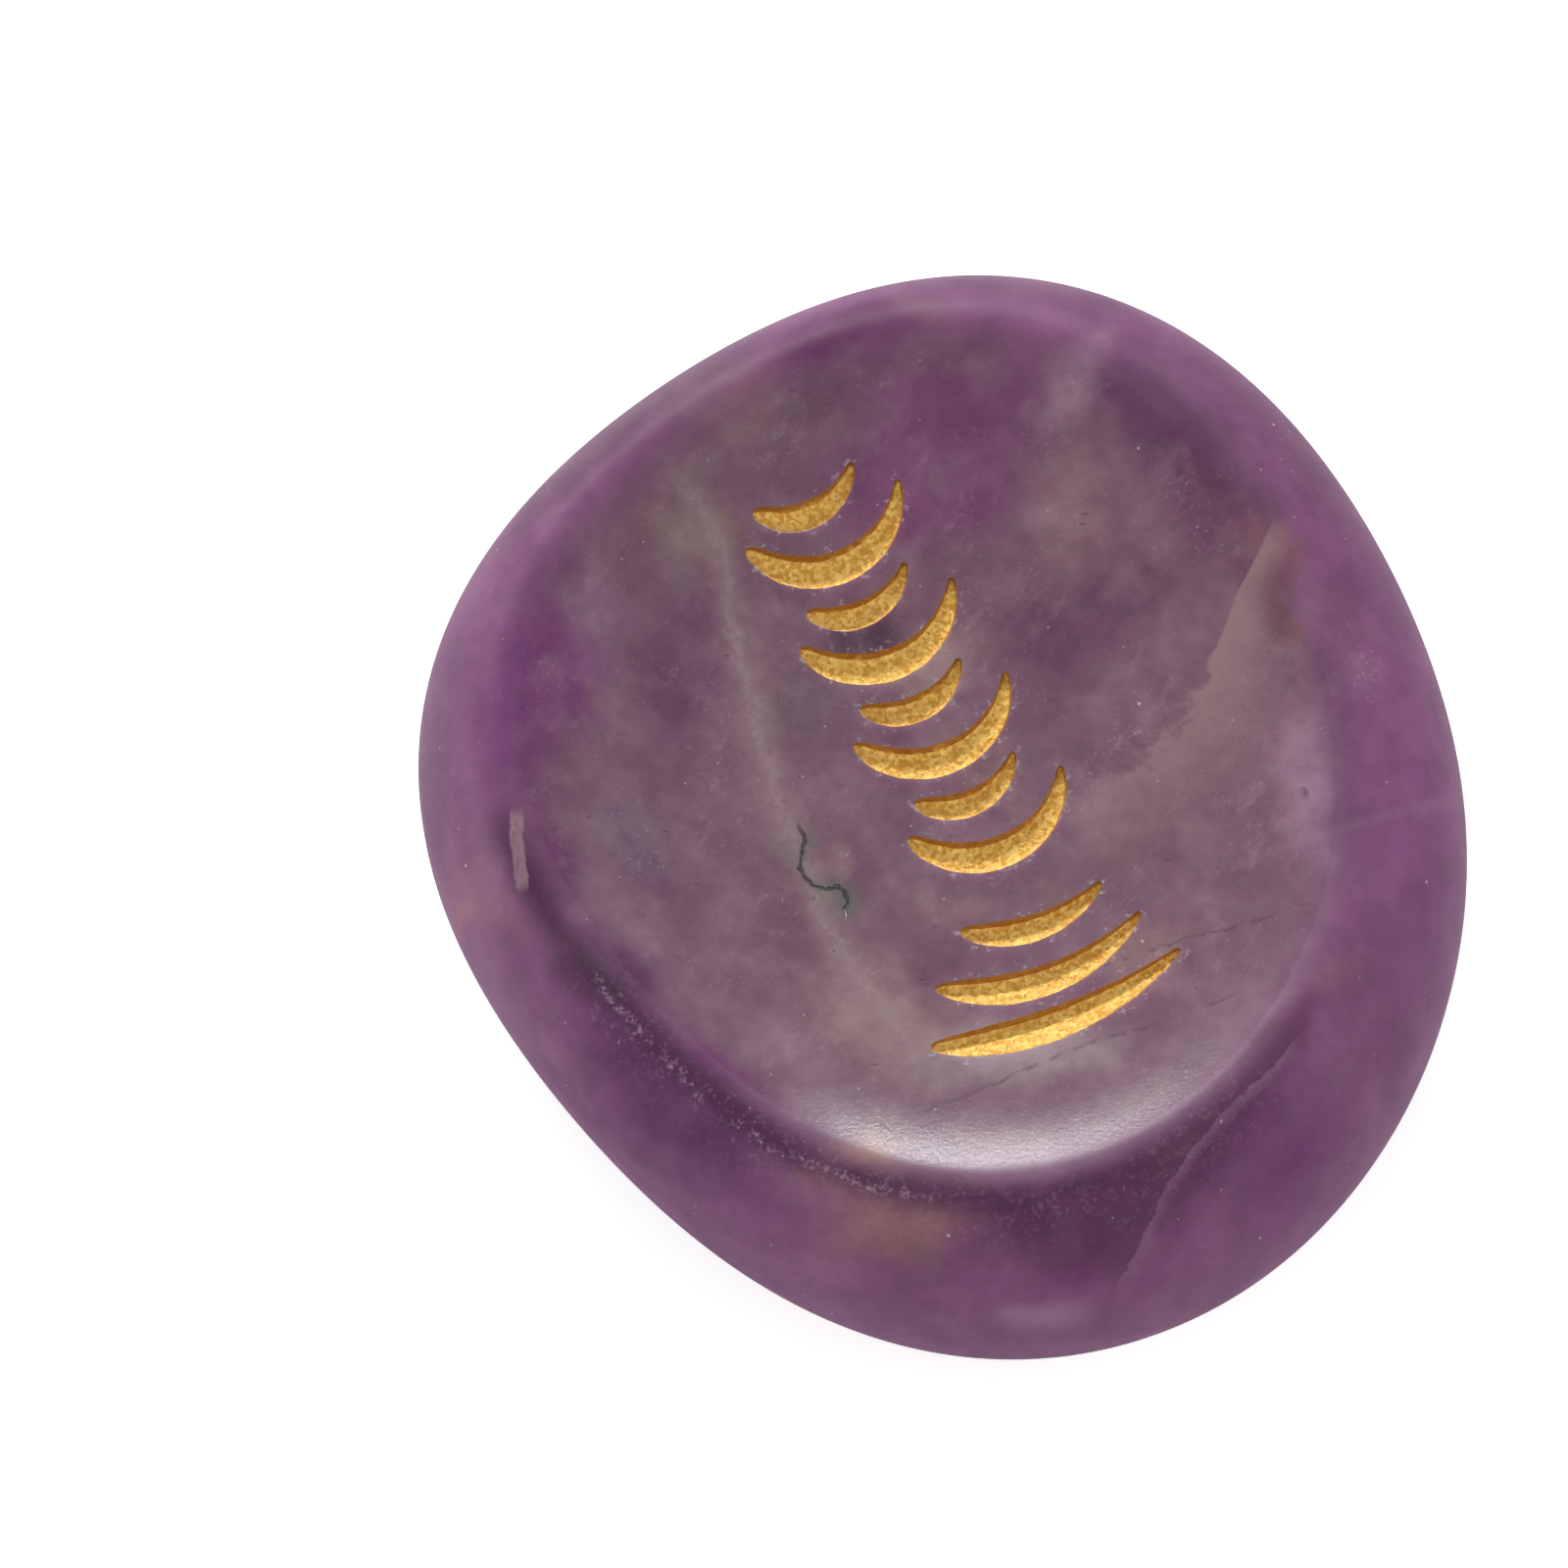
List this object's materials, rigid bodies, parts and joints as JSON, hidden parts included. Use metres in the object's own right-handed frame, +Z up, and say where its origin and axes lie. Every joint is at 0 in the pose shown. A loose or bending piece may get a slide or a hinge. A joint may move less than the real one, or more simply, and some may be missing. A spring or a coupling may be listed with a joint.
{
  "type": "engraved worry stone",
  "caption": "Rounded palm-sized amethyst pebble with a thumb dish on its upper face and a row of shallow gilded strokes engraved in the dish.",
  "frame": {"origin": "middle of the outline's bounding box, on the surface the stone lies on", "axes": "+Z up, out of the thumb dish; +Y along the stone's longest side, away from a viewer who sees it as in the picture; +X to that viewer's right"},
  "size_m": [0.0414, 0.0452, 0.0104],
  "materials": {
    "stone": "polished"
  },
  "bodies": {
    "root": {"worry_stone": "stone"}
  },
  "joints": []
}
